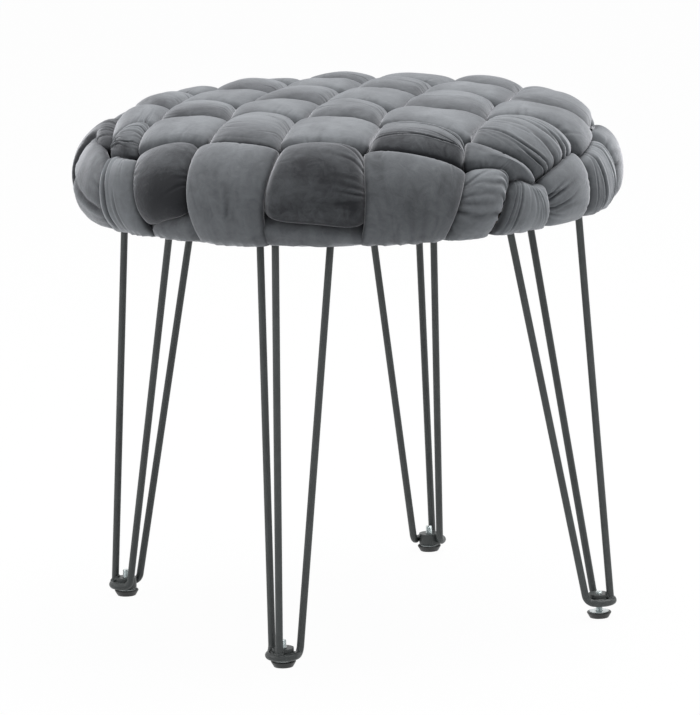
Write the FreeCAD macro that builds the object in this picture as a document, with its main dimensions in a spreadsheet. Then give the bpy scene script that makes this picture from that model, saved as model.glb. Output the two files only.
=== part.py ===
import FreeCAD, Part
import Sketcher
import math
import os

# A round stool: a seat woven from stuffed velvet bands over a foam core and a plywood board,
# on four legs of three steel rods each, every leg ending in a screw-adjusted levelling foot.
# The origin is on the floor under the middle of the seat, +Z is up, and a leg lies on each of +X, +Y, -X, -Y.

Vector = FreeCAD.Vector
UP = Vector(0, 0, 1)

doc = FreeCAD.newDocument("woven_stool")

SIZES = [
    ("stool_height", 460, "floor to the top of the fullest pad"),
    ("seat_diameter", 480, "across the woven seat"),
    ("tuck_drop", 25.6, "lower edge of the bands below the seat's widest line"),
    ("crown_radius", 2000, "slight dome of the foam's top"),
    ("shoulder_radius", 38, "foam edge between the top and the side"),
    ("tuck_radius", 60, "the side drawn in below its widest line"),
    ("bands_each_way", 6, "bands that run lengthwise, and as many across"),
    ("column_margin", 66, "seat's width less the six lengthwise bands"),
    ("row_margin", 30, "seat's width less the six cross bands"),
    ("column_shift", -4, "middle of the lengthwise bands from the centre"),
    ("row_shift", -18, "middle of the cross bands from the centre"),
    ("column_turn", 5.5, "degrees from the +Y axis to the lengthwise bands"),
    ("row_turn", 0.5, "degrees from the +X axis to the cross bands"),
    ("strap_thickness", 5.4, "band where it is pressed flat under another"),
    ("strap_clearance", 0.3, "foam to band"),
    ("layer_gap", 0.6, "band to the band that crosses under it"),
    ("bend_ease", 0.6, "more room between the layers where the seat curves"),
    ("top_pad", 20, "full depth of a pad on top of the seat"),
    ("side_pad", 17.2, "full depth of a pad on the side of the seat"),
    ("hem_pad", 5, "depth left at the lower edge"),
    ("dive_length", 10, "run in which a band dips under its neighbour"),
    ("pad_gap", 0.6, "between pads that lie side by side"),
    ("board_thickness", 15, "plywood seat board"),
    ("board_lift", 7, "board's underside above the lower edge of the bands"),
    ("board_inset", 4.5, "board's edge inside the foam's widest line"),
    ("cover_thickness", 0.8, "non-woven cover under the board"),
    ("cover_inset", 3, "cover's edge inside the board's edge"),
    ("plate_thickness", 3, "steel mounting plate of a leg"),
    ("plate_setback", 1, "plate's outer edge inside the board's edge"),
    ("plate_length", 75, "plate along the leg's line"),
    ("plate_inner_width", 80, "plate's wide end"),
    ("plate_outer_width", 34, "plate's narrow end"),
    ("plate_corner", 6, "plate's corner radius"),
    ("screw_diameter", 4, "wood screw shank"),
    ("screw_length", 15, "shank below the head"),
    ("screw_head_diameter", 8, "pan head"),
    ("screw_head_height", 2.3, "pan head"),
    ("screw_clearance", 0.1, "shank to hole, all round"),
    ("screw_inner_edge", 7, "inner pair of screws from the plate's inner edge"),
    ("screw_inner_margin", 23, "inner screws from the wide end's corners"),
    ("screw_outer_edge", 21, "outer pair of screws from the plate's outer edge"),
    ("screw_outer_margin", 5, "outer screws from the narrow end's corners"),
    ("rod_diameter", 6.35, "round steel rod of the legs"),
    ("inner_rod_edge", 15.3, "hairpin rods from the plate's inner edge"),
    ("inner_rod_margin", 8, "hairpin rods from the wide end's corners"),
    ("outer_rod_edge", 4, "third rod from the plate's outer edge"),
    ("leg_splay", 12.3, "feet further out than the third rods' tops"),
    ("loop_radius", 12.4, "hairpin's loop round the bush, to the rod's centre"),
    ("loop_straight", 7.6, "level run of the loop inside the foot's axis"),
    ("loop_height", 10, "floor to the centre of the loop's rod"),
    ("bend_radius", 8, "bend from the leg's slope into the loop"),
    ("outer_rod_inset", 1.7, "third rod's landing inside the loop's centre line"),
    ("right_leg_lift", 5, "right leg's loop above the others, on its screwed-out foot"),
    ("bush_height", 9.5, "threaded bush welded into the loop"),
    ("bush_clearance", 0.1, "bush to loop"),
    ("stud_diameter", 6, "levelling stud"),
    ("stud_bore_clearance", 0.08, "stud to bush, all round"),
    ("stud_rise", 13.3, "stud's tip above the loop's centre, before a leg is lifted"),
    ("stud_tip_chamfer", 0.8, "stud's lead-in"),
    ("stud_head_diameter", 9, "swivel head held in the foot"),
    ("stud_head_height", 1.9, "swivel head held in the foot"),
    ("swivel_clearance", 0.3, "stud's head and shank to the foot's pieces"),
    ("foot_height", 5.2, "plastic foot"),
    ("foot_top_diameter", 22.5, "plastic foot at its upper rim"),
    ("foot_bottom_diameter", 16.5, "plastic foot on the floor"),
    ("foot_edge", 0.8, "rounding of the foot's upper rim"),
    ("foot_floor", 1.8, "plastic under the stud's head"),
    ("cap_diameter", 17, "steel cap pressed into the foot"),
    ("cap_thickness", 1.4, "steel cap"),
    ("cap_proud", 0.5, "cap above the plastic"),
    ("cap_clearance", 0.05, "cap to foot, all round"),
    # sizes that follow from the ones above
    ("upper_layer", "=strap_clearance + strap_thickness + layer_gap", "foam to the underside of a pad"),
    ("foam_top", "=stool_height - upper_layer - top_pad", "floor to the foam's crown"),
    ("side_radius", "=seat_diameter / 2 - upper_layer - side_pad", "foam's widest line"),
    ("crown_sine", "=(side_radius - shoulder_radius) / (crown_radius - shoulder_radius)",
     "sine of the crown's half angle"),
    ("crown_cosine", "=sqrt(1 - crown_sine ^ 2)", "cosine of the crown's half angle"),
    ("widest_height", "=foam_top - crown_radius * (1 - crown_cosine) - shoulder_radius * crown_cosine",
     "floor to the seat's widest line"),
    ("seat_bottom", "=widest_height - tuck_drop", "floor to the lower edge of the bands"),
    ("column_pitch", "=(seat_diameter - column_margin) / bands_each_way", "spacing of the lengthwise bands"),
    ("row_pitch", "=(seat_diameter - row_margin) / bands_each_way", "spacing of the cross bands"),
    ("board_bottom", "=seat_bottom + board_lift", "floor to the board"),
    ("board_top", "=board_bottom + board_thickness", "floor to the foam's underside"),
    ("cover_bottom", "=board_bottom - cover_thickness", "floor to the cover"),
    ("plate_bottom", "=cover_bottom - plate_thickness", "floor to the legs' mounting plates"),
    ("board_radius", "=side_radius - board_inset", "board"),
    ("plate_outer_radius", "=board_radius - plate_setback", "plate's outer edge from the middle"),
    ("plate_inner_radius", "=plate_outer_radius - plate_length", "plate's inner edge from the middle"),
    ("screw_inner_radius", "=plate_inner_radius + screw_inner_edge", "inner pair of screws from the middle"),
    ("screw_inner_offset", "=plate_inner_width / 2 - screw_inner_margin", "inner screws off the leg's line"),
    ("screw_outer_radius", "=plate_outer_radius - screw_outer_edge", "outer pair of screws from the middle"),
    ("screw_outer_offset", "=plate_outer_width / 2 - screw_outer_margin", "outer screws off the leg's line"),
    ("inner_rod_top_radius", "=plate_inner_radius + inner_rod_edge", "hairpin rods at the plate"),
    ("inner_rod_top_offset", "=plate_inner_width / 2 - inner_rod_margin", "hairpin rods off the leg's line"),
    ("outer_rod_top_radius", "=plate_outer_radius - outer_rod_edge", "third rod at the plate"),
    ("foot_circle_radius", "=outer_rod_top_radius + leg_splay", "feet from the middle of the stool"),
    ("stud_top", "=loop_height + stud_rise", "floor to the stud's tip"),
]

sheet = doc.addObject("Spreadsheet::Sheet", "Sizes")
for line, (alias, value, meaning) in enumerate(SIZES, start=1):
    sheet.set("A%d" % line, alias)
    sheet.set("B%d" % line, str(value))
    sheet.set("C%d" % line, meaning)
    sheet.setAlias("B%d" % line, alias)
doc.recompute()


def size(alias):
    """Return one driving dimension of the sheet, in millimetres, degrees or pieces."""
    return float(sheet.get(alias))


def bind(feature, **formulas):
    """Tie properties of a feature to formulas over the sheet, where $name means a driving dimension."""
    for prop, formula in formulas.items():
        feature.setExpression(prop, formula.replace("$", "Sizes."))
    return feature


# The seat's form: the foam's outline as three tangent arcs, and points above it

crown_radius = size("crown_radius")
shoulder_radius = size("shoulder_radius")
tuck_radius = size("tuck_radius")
foam_top = size("foam_top")
side_radius = size("side_radius")
widest_height = size("widest_height")
board_top = size("board_top")
plate_bottom = size("plate_bottom")
crown_angle = math.asin(size("crown_sine"))
crown_run = crown_radius * crown_angle
shoulder_run = shoulder_radius * (math.pi / 2 - crown_angle)


def outline(run):
    """Follow the foam's outline from the middle of the top: radius, height and outward normal after a run."""
    if run <= crown_run:
        angle = run / crown_radius
        radius = crown_radius * math.sin(angle)
        height = foam_top - crown_radius * (1 - math.cos(angle))
    elif run <= crown_run + shoulder_run:
        angle = crown_angle + (run - crown_run) / shoulder_radius
        radius = side_radius - shoulder_radius * (1 - math.sin(angle))
        height = widest_height + shoulder_radius * math.cos(angle)
    else:
        angle = math.pi / 2 + (run - crown_run - shoulder_run) / tuck_radius
        radius = side_radius - tuck_radius * (1 - math.sin(angle))
        height = widest_height + tuck_radius * math.cos(angle)
    return radius, height, math.sin(angle), math.cos(angle)


def hem_run_at(height):
    """Return the run along the outline, from the middle of the top, to a height on the drawn-in side."""
    return crown_run + shoulder_run + tuck_radius * math.asin((widest_height - height) / tuck_radius)


def seat_point(flat, above):
    """Wrap a point of the flat weave over the seat, some distance above the foam."""
    run = math.hypot(flat.x, flat.y)
    around = math.atan2(flat.y, flat.x)
    radius, height, normal_out, normal_up = outline(run)
    reach = radius + normal_out * above
    return Vector(reach * math.cos(around), reach * math.sin(around), height + normal_up * above)


hem_run = hem_run_at(size("seat_bottom"))


def smooth_step(value):
    value = min(max(value, 0.0), 1.0)
    return value * value * (3 - 2 * value)


BEND_START = 0.8 * crown_run
SIDE_START = crown_run + 0.6 * shoulder_run


def ease(run):
    """Extra room between the layers on the curved part of the seat."""
    return size("bend_ease") * smooth_step((run - BEND_START) / (crown_run - BEND_START))


def pad_depth(run):
    """Full depth of a pad: most on top, less on the side, and rounded in to the hem."""
    to_side = smooth_step((run - BEND_START) / (SIDE_START - BEND_START))
    depth = size("top_pad") + (size("side_pad") - size("top_pad")) * to_side
    to_hem = (run - crown_run - shoulder_run) / (hem_run - crown_run - shoulder_run)
    to_hem = min(max(to_hem, 0.0), 1.0)
    return size("hem_pad") + (depth - size("hem_pad")) * math.sqrt(1 - to_hem ** 2)


# The bands

band_count = int(size("bands_each_way"))
EDGE_SHARE = 0.14       # a pad's swell left at its edges
TUCKED_END_SHARE = 0.5  # fullness of a band's end that starts under its neighbour
SWELL_POWER = 2.6       # how squarely a pad swells along its band
HEM_REACH = 4           # bands run on past the hem before they are cut level
SIDE_STEP = 7.5         # between cross-sections on the seat's side
TOP_STEP = 19           # between cross-sections on its top
SHORTEST_STEP = 0.5     # closer cross-sections are joined
TOP_END = 0.93 * crown_run


def weave_axis(turn, quarter):
    angle = math.radians(turn + quarter)
    return Vector(math.cos(angle), math.sin(angle), 0)


along_rows = weave_axis(size("row_turn"), 0)
along_columns = weave_axis(size("column_turn"), 90)


def edge_lines(pitch, shift):
    """Lines between neighbouring bands, measured from the middle of the seat."""
    return [shift + pitch * (line - band_count / 2) for line in range(band_count + 1)]


column_edges = edge_lines(size("column_pitch"), size("column_shift"))
row_edges = edge_lines(size("row_pitch"), size("row_shift"))


class Band:
    """One stuffed band: full pads where it lies over its neighbours, a flat strap where it dips under them."""

    def __init__(self, low_edge, high_edge, across, along, crossings, over):
        self.middle = (low_edge + high_edge) / 2
        self.half_pad = (high_edge - low_edge - size("pad_gap")) / 2
        self.half_strap = (high_edge - low_edge) / 2 - size("dive_length") - 2 * size("pad_gap")
        self.across = across
        self.along = along
        self.crossings = crossings
        self.over = over
        nearest = max(0.0, abs(self.middle) - self.half_pad)
        self.end = math.sqrt(max((hem_run + HEM_REACH) ** 2 - nearest ** 2, 0.0))
        self.arcs_across = 2 if abs(self.middle) + self.half_pad < 0.5 * crown_run else 4

    def cell(self, place):
        """Return the crossing that a place along the band lies in, or None past the last one."""
        for number in range(band_count):
            if self.crossings[number] <= place <= self.crossings[number + 1]:
                return number
        return None

    def state(self, place):
        """Return rise (0 strap, 1 pad), fullness and half width of the band at a place along it."""
        first, last = self.crossings[0], self.crossings[-1]
        dive = size("dive_length")
        if place < first or place > last:
            outside = first - place if place < first else place - last
            over = self.over[0] if place < first else self.over[-1]
            spread = min(outside / dive, 1.0)
            if over:
                return 1 - spread, 1.0, self.half_pad
            return 0.0, TUCKED_END_SHARE * spread, self.half_strap + (self.half_pad - self.half_strap) * spread
        number = self.cell(place)
        if not self.over[number]:
            return 0.0, 0.0, self.half_strap
        low, high = self.crossings[number], self.crossings[number + 1]
        across_cell = (2 * place - low - high) / (high - low)
        open_end = (number == 0 and across_cell < 0) or (number == band_count - 1 and across_cell > 0)
        if open_end:
            return 1.0, 1.0, self.half_pad
        rise = min((1 - abs(across_cell)) * (high - low) / 2 / dive, 1.0)
        fullness = math.sqrt(max(1 - abs(across_cell) ** SWELL_POWER, 0.0)) * rise
        return rise, fullness, self.half_strap + (self.half_pad - self.half_strap) * rise

    def places(self):
        """Places of the cross-sections: each crossing's edges and dips, with more where the seat curves."""
        dive = size("dive_length")
        marks = {-self.end, self.end}
        for number in range(band_count):
            low, high = self.crossings[number], self.crossings[number + 1]
            marks.update([low, high])
            if self.over[number]:
                marks.update([low + dive, (low + high) / 2, high - dive])
        marks.update([self.crossings[0] - dive, self.crossings[-1] + dive])
        marks = sorted(mark for mark in marks if -self.end <= mark <= self.end)
        result = [marks[0]]
        for mark in marks[1:]:
            start = result[-1]
            if mark - start < SHORTEST_STEP:
                continue
            middle_run = math.hypot((start + mark) / 2, self.middle)
            step = SIDE_STEP if middle_run > TOP_END else TOP_STEP
            pieces = max(1, math.ceil((mark - start) / step))
            result += [start + (mark - start) * piece / pieces for piece in range(1, pieces + 1)]
        return result

    def section(self, place):
        """Return one closed wire across the band: arcs over the top, short sides and arcs beneath."""
        rise, fullness, half_width = self.state(place)
        last = 2 * self.arcs_across
        lower, upper = [], []
        for step in range(last + 1):
            across = -math.cos(math.pi * step / last)
            flat = self.across * (self.middle + across * half_width) + self.along * place
            run = math.hypot(flat.x, flat.y)
            depth = pad_depth(run)
            lift = size("strap_thickness") + size("layer_gap") + ease(run)
            floor = size("strap_clearance") + ease(run) + rise * lift
            crown = EDGE_SHARE + (1 - EDGE_SHARE) * math.sqrt(max(1 - across ** 2, 0.0))
            swell = max(depth - size("strap_thickness"), 0.0) * fullness * crown
            strap = min(size("strap_thickness"), depth)
            lower.append(seat_point(flat, floor))
            upper.append(seat_point(flat, floor + strap + swell))
        if abs(place) == self.end:
            lower, upper = straight_end(lower, upper)
        return closed_wire(lower, upper)

    def solid(self):
        wires = [self.section(place) for place in self.places()]
        loft = Part.makeLoft(wires, True, True)
        return loft.common(above_hem)


def straight_end(lower, upper):
    """Draw a band's end section into one flat parallelogram, so that it can be closed."""
    first, last = lower[0], lower[-1]
    thickness = upper[len(upper) // 2] - lower[len(lower) // 2]
    count = len(lower) - 1
    line = [first + (last - first) * (step / count) for step in range(count + 1)]
    return line, [point + thickness for point in line]


def curve(start, middle, end):
    """Arc through three points, or a line where they are in line."""
    if middle.distanceToLineSegment(start, end).Length < 1e-4:
        return Part.LineSegment(start, end).toShape()
    return Part.Arc(start, middle, end).toShape()


def closed_wire(lower, upper):
    edges = [curve(lower[n], lower[n + 1], lower[n + 2]) for n in range(0, len(lower) - 1, 2)]
    edges.append(Part.LineSegment(lower[-1], upper[-1]).toShape())
    back = upper[::-1]
    edges += [curve(back[n], back[n + 1], back[n + 2]) for n in range(0, len(back) - 1, 2)]
    edges.append(Part.LineSegment(upper[0], lower[0]).toShape())
    return Part.Wire(edges)


reach = size("seat_diameter")
above_hem = Part.makeBox(2 * reach, 2 * reach, reach, Vector(-reach, -reach, size("seat_bottom")))
nodes = []


def add_shape(label, shape):
    """Add a sub-part whose shape is worked out here, and list it."""
    feature = doc.addObject("Part::Feature", label)
    feature.Label = label
    feature.Shape = shape
    feature.Placement = FreeCAD.Placement()
    nodes.append(feature)
    return feature


def add_bands():
    for number in range(band_count):
        over = [(number + row) % 2 == 0 for row in range(band_count)]
        band = Band(column_edges[number], column_edges[number + 1],
                    along_rows, along_columns, row_edges, over)
        add_shape("lengthwise_band_%d" % (number + 1), band.solid())
    for number in range(band_count):
        over = [(number + column) % 2 == 1 for column in range(band_count)]
        band = Band(row_edges[number], row_edges[number + 1],
                    along_columns, along_rows, column_edges, over)
        add_shape("cross_band_%d" % (number + 1), band.solid())


# Foam core, board and cover

def add_foam_core():
    """Foam disc on the board, turned from the seat's outline."""
    start_run = 0.0
    shoulder_start = crown_run
    side_start = crown_run + shoulder_run
    end_run = hem_run_at(board_top)

    def arc(first, last):
        points = []
        for run in (first, (first + last) / 2, last):
            radius, height, _, _ = outline(run)
            points.append(Vector(radius, 0, height))
        return Part.Arc(*points).toShape()

    edges = [arc(start_run, shoulder_start), arc(shoulder_start, side_start), arc(side_start, end_run)]
    rim_radius, rim_height, _, _ = outline(end_run)
    rim = Vector(rim_radius, 0, rim_height)
    centre = Vector(0, 0, board_top)
    edges.append(Part.LineSegment(rim, centre).toShape())
    edges.append(Part.LineSegment(centre, Vector(0, 0, foam_top)).toShape())
    face = Part.Face(Part.Wire(edges))
    add_shape("foam_core", face.revolve(Vector(0, 0, 0), UP, 360))


def plane_of(body, role):
    return [plane for plane in body.Origin.OriginFeatures if plane.Role == role][0]


def new_body(label):
    body = doc.addObject("PartDesign::Body", label)
    body.Label = label
    nodes.append(body)
    return body


def circle_sketch(body, name, radius_formula):
    """Sketch of one circle round the body's axis."""
    sketch = body.newObject("Sketcher::SketchObject", name)
    sketch.AttachmentSupport = [(plane_of(body, "XY_Plane"), "")]
    sketch.MapMode = "FlatFace"
    sketch.addGeometry(Part.Circle(Vector(0, 0, 0), UP, 100), False)
    sketch.addConstraint(Sketcher.Constraint("Coincident", 0, 3, -1, 1))
    sketch.addConstraint(Sketcher.Constraint("Radius", 0, 100))
    sketch.renameConstraint(1, "outer_radius")
    bind(sketch, **{"Constraints.outer_radius": radius_formula})
    return sketch


def screw_sketch(body, name):
    """Sketch of one leg's four screw holes, along +X."""
    sketch = body.newObject("Sketcher::SketchObject", name)
    sketch.AttachmentSupport = [(plane_of(body, "XY_Plane"), "")]
    sketch.MapMode = "FlatFace"
    places = [("inner", 1), ("inner", -1), ("outer", 1), ("outer", -1)]
    for number, (pair, side) in enumerate(places):
        radius = size("screw_%s_radius" % pair)
        offset = size("screw_%s_offset" % pair) * side
        sketch.addGeometry(Part.Circle(Vector(radius, offset, 0), UP, 2), False)
        constraint = sketch.addConstraint(Sketcher.Constraint("Radius", number, 2))
        sketch.renameConstraint(constraint, "hole_%d" % number)
        bind(sketch, **{"Constraints.hole_%d" % number: "$screw_diameter / 2 + $screw_clearance"})
        constraint = sketch.addConstraint(Sketcher.Constraint("DistanceX", -1, 1, number, 3, radius))
        sketch.renameConstraint(constraint, "out_%d" % number)
        bind(sketch, **{"Constraints.out_%d" % number: "$screw_%s_radius" % pair})
        ends = (-1, 1, number, 3) if side > 0 else (number, 3, -1, 1)
        constraint = sketch.addConstraint(Sketcher.Constraint("DistanceY", *ends, abs(offset)))
        sketch.renameConstraint(constraint, "aside_%d" % number)
        bind(sketch, **{"Constraints.aside_%d" % number: "$screw_%s_offset" % pair})
    return sketch


def drilled_disc(label, radius_formula, thickness_formula, bottom_formula):
    """Disc with every leg's screw holes."""
    body = new_body(label)
    pad = body.newObject("PartDesign::Pad", label + "_disc")
    pad.Profile = circle_sketch(body, label + "_outline", radius_formula)
    bind(pad, Length=thickness_formula)
    holes = body.newObject("PartDesign::Pocket", label + "_leg_holes")
    holes.Profile = screw_sketch(body, label + "_screws")
    holes.Type = 1
    holes.Reversed = True
    ring = body.newObject("PartDesign::PolarPattern", label + "_holes")
    ring.Originals = [holes]
    axis = [line for line in body.Origin.OriginFeatures if line.Role == "Z_Axis"][0]
    ring.Axis = (axis, [""])
    ring.Angle = 360
    ring.Occurrences = len(LEGS)
    body.Tip = ring
    bind(body, **{"Placement.Base.z": bottom_formula})
    return body


# The legs, modelled along +X and turned into place

LEGS = [("right", 0, True), ("back", 90, False), ("left", 180, False), ("front", 270, False)]

rod_radius = size("rod_diameter") / 2


def fillet_corner(before, corner, after, radius):
    """Return start, middle and end of the arc that rounds a corner between two straight runs."""
    incoming = (corner - before).normalize()
    outgoing = (after - corner).normalize()
    turn = incoming.getAngle(outgoing)
    setback = radius * math.tan(turn / 2)
    start = corner - incoming * setback
    end = corner + outgoing * setback
    bisector = (outgoing - incoming).normalize()
    centre = corner + bisector * (radius / math.cos(turn / 2))
    return start, centre - bisector * radius, end


def swept_rod(edges, start, direction):
    profile = Part.Wire([Part.makeCircle(rod_radius, start, direction)])
    return Part.Wire(edges).makePipeShell([profile], True, False)


def hairpin_shape(loop_height):
    """One bent rod: down from the plate, level round the bush and up to the plate again."""
    axis_x = size("foot_circle_radius")
    bend_x = axis_x - size("loop_straight")
    loop = size("loop_radius")
    top_x = size("inner_rod_top_radius")
    top_y = size("inner_rod_top_offset")
    spare = 2 * size("plate_thickness")

    def side(sign):
        corner = Vector(bend_x, sign * loop, loop_height)
        top = Vector(top_x, sign * top_y, plate_bottom)
        top = top + (top - corner).normalize() * spare
        inward = Vector(axis_x, sign * loop, loop_height)
        return top, fillet_corner(top, corner, inward, size("bend_radius")), inward

    top_a, bend_a, level_a = side(1)
    top_b, bend_b, level_b = side(-1)
    half = loop * math.sqrt(0.5)
    outermost = Vector(axis_x + loop, 0, loop_height)
    edges = [
        Part.LineSegment(top_a, bend_a[0]).toShape(),
        Part.Arc(*bend_a).toShape(),
        Part.LineSegment(bend_a[2], level_a).toShape(),
        Part.Arc(level_a, Vector(axis_x + half, half, loop_height), outermost).toShape(),
        Part.Arc(outermost, Vector(axis_x + half, -half, loop_height), level_b).toShape(),
        Part.LineSegment(level_b, bend_b[2]).toShape(),
        Part.Arc(bend_b[2], bend_b[1], bend_b[0]).toShape(),
        Part.LineSegment(bend_b[0], top_b).toShape(),
    ]
    rod = swept_rod(edges, top_a, bend_a[0] - top_a)
    return rod.common(below_plate)


def outer_rod_shape(loop_height):
    """Straight third rod, from the plate to the outside of the loop, its end coped to the loop and the bush."""
    foot = Vector(size("foot_circle_radius") + size("loop_radius") - size("outer_rod_inset"), 0, loop_height)
    top = Vector(size("outer_rod_top_radius"), 0, plate_bottom)
    slope = (top - foot).normalize()
    length = (top - foot).Length + 2 * size("plate_thickness")
    rod = Part.makeCylinder(rod_radius, length, foot, slope).common(below_plate)
    loop_middle = Vector(size("foot_circle_radius"), 0, loop_height)
    loop = Part.makeTorus(size("loop_radius"), rod_radius, loop_middle, UP)
    inside_loop = Part.makeCylinder(size("loop_radius") - rod_radius, 2 * size("bush_height"),
                                    loop_middle - UP * rod_radius)
    pieces = rod.cut(loop).cut(inside_loop).Solids
    return max(pieces, key=lambda piece: piece.Volume)


below_plate = Part.makeBox(2 * reach, 2 * reach, reach, Vector(-reach, -reach, plate_bottom - reach))


def turn(feature, angle):
    """Turn a leg's piece from +X into its place round the stool."""
    feature.Placement = FreeCAD.Placement(Vector(0, 0, 0), FreeCAD.Rotation(UP, angle))
    return feature


def finish(feature, label, angle):
    feature.Label = label
    turn(feature, angle)
    nodes.append(feature)


def cylinder(name, radius, height, bottom):
    """Upright cylinder on the foot's axis."""
    tube = doc.addObject("Part::Cylinder", name)
    bind(tube, Radius=radius, Height=height, **{"Placement.Base.x": "$foot_circle_radius",
                                                "Placement.Base.z": bottom})
    return tube


def cut(name, base, tool):
    result = doc.addObject("Part::Cut", name)
    result.Base = base
    result.Tool = tool
    return result


def fuse(name, pieces):
    result = doc.addObject("Part::MultiFuse", name)
    result.Shapes = pieces
    return result


def add_plate(side, angle):
    """Four-cornered steel plate with rounded corners and four screw holes."""
    label = side + "_leg_plate"
    body = new_body(label)
    sketch = body.newObject("Sketcher::SketchObject", label + "_outline")
    sketch.AttachmentSupport = [(plane_of(body, "XY_Plane"), "")]
    sketch.MapMode = "FlatFace"
    inner_x, outer_x = size("plate_inner_radius"), size("plate_outer_radius")
    inner_y, outer_y = size("plate_inner_width") / 2, size("plate_outer_width") / 2
    corners = [Vector(inner_x, -inner_y, 0), Vector(outer_x, -outer_y, 0),
               Vector(outer_x, outer_y, 0), Vector(inner_x, inner_y, 0)]
    for number, corner in enumerate(corners):
        sketch.addGeometry(Part.LineSegment(corner, corners[(number + 1) % 4]), False)
    for number in range(4):
        sketch.addConstraint(Sketcher.Constraint("Coincident", number, 2, (number + 1) % 4, 1))
    sketch.addConstraint(Sketcher.Constraint("Symmetric", 0, 2, 1, 2, -1))
    sketch.addConstraint(Sketcher.Constraint("Symmetric", 3, 1, 3, 2, -1))
    named = [
        ("inner_radius", Sketcher.Constraint("DistanceX", -1, 1, 3, 1, inner_x), "$plate_inner_radius"),
        ("outer_radius", Sketcher.Constraint("DistanceX", -1, 1, 1, 1, outer_x), "$plate_outer_radius"),
        ("inner_width", Sketcher.Constraint("DistanceY", 3, 2, 3, 1, 2 * inner_y), "$plate_inner_width"),
        ("outer_width", Sketcher.Constraint("DistanceY", 1, 1, 1, 2, 2 * outer_y), "$plate_outer_width"),
    ]
    for name, constraint, formula in named:
        sketch.renameConstraint(sketch.addConstraint(constraint), name)
        bind(sketch, **{"Constraints." + name: formula})
    pad = body.newObject("PartDesign::Pad", label + "_sheet")
    pad.Profile = sketch
    bind(pad, Length="$plate_thickness")
    holes = body.newObject("PartDesign::Pocket", label + "_holes")
    holes.Profile = screw_sketch(body, label + "_screws")
    holes.Type = 1
    holes.Reversed = True
    doc.recompute()
    corners_up = [number for number, edge in enumerate(holes.Shape.Edges, start=1)
                  if edge.Curve.TypeId == "Part::GeomLine" and abs(edge.tangentAt(edge.FirstParameter).z) > 0.99]
    rounding = body.newObject("PartDesign::Fillet", label + "_corners")
    rounding.Base = (holes, ["Edge%d" % number for number in corners_up])
    bind(rounding, Radius="$plate_corner")
    body.Tip = rounding
    turn(body, angle)
    bind(body, **{"Placement.Base.z": "$plate_bottom"})


def add_leg(side, angle, lifted):
    """Plate, hairpin rod, third rod and threaded bush of one leg."""
    lift = "$right_leg_lift" if lifted else "0"
    loop_height = size("loop_height") + (size("right_leg_lift") if lifted else 0)
    add_plate(side, angle)
    turn(add_shape(side + "_hairpin_rod", hairpin_shape(loop_height)), angle)
    turn(add_shape(side + "_outer_rod", outer_rod_shape(loop_height)), angle)
    bottom = "$loop_height - $rod_diameter / 2 + " + lift
    outside = cylinder(side + "_bush_outside", "$loop_radius - $rod_diameter / 2 - $bush_clearance",
                       "$bush_height", bottom)
    bore = cylinder(side + "_bush_bore", "$stud_diameter / 2 + $stud_bore_clearance", "$bush_height", bottom)
    finish(cut(side + "_bush_body", outside, bore), side + "_leg_bush", angle)


def add_foot(side, angle):
    """Levelling foot: threaded stud whose head swivels in a plastic foot under a pressed-in steel cap."""
    head_bottom = "$foot_floor + $swivel_clearance"
    head_top = "(%s + $stud_head_height)" % head_bottom
    head = cylinder(side + "_stud_head", "$stud_head_diameter / 2", "$stud_head_height", head_bottom)
    shank = cylinder(side + "_stud_shank", "$stud_diameter / 2", "$stud_top - %s" % head_top, head_top)
    stud = fuse(side + "_stud_blank", [head, shank])
    doc.recompute()
    tip_edges = [number for number, edge in enumerate(stud.Shape.Edges, start=1)
                 if abs(edge.BoundBox.ZMin - size("stud_top")) < 1e-6]
    chamfer = doc.addObject("Part::Chamfer", side + "_stud_tip")
    chamfer.Base = stud
    lead = size("stud_tip_chamfer")
    chamfer.Edges = [(number, lead, lead) for number in tip_edges]
    finish(chamfer, side + "_foot_stud", angle)

    cone = doc.addObject("Part::Cone", side + "_foot_cone")
    bind(cone, Radius1="$foot_bottom_diameter / 2", Radius2="$foot_top_diameter / 2", Height="$foot_height",
         **{"Placement.Base.x": "$foot_circle_radius"})
    doc.recompute()
    rim_edges = [number for number, edge in enumerate(cone.Shape.Edges, start=1)
                 if abs(edge.BoundBox.ZMin - size("foot_height")) < 1e-6]
    rounded = doc.addObject("Part::Fillet", side + "_foot_rim")
    rounded.Base = cone
    rounded.Edges = [(number, size("foot_edge"), size("foot_edge")) for number in rim_edges]
    cap_bottom = "($foot_height + $cap_proud - $cap_thickness)"
    seat = cylinder(side + "_cap_seat", "$cap_diameter / 2 + $cap_clearance", "$cap_thickness", cap_bottom)
    pocket = cylinder(side + "_head_pocket", "$stud_head_diameter / 2 + $swivel_clearance",
                      "%s - $foot_floor" % cap_bottom, "$foot_floor")
    hollow = fuse(side + "_foot_hollow", [seat, pocket])
    finish(cut(side + "_foot_cut", rounded, hollow), side + "_foot_base", angle)

    disc = cylinder(side + "_cap_disc", "$cap_diameter / 2", "$cap_thickness", cap_bottom)
    hole = cylinder(side + "_cap_hole", "$stud_diameter / 2 + $swivel_clearance", "$cap_thickness", cap_bottom)
    finish(cut(side + "_cap_cut", disc, hole), side + "_foot_cap", angle)


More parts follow.
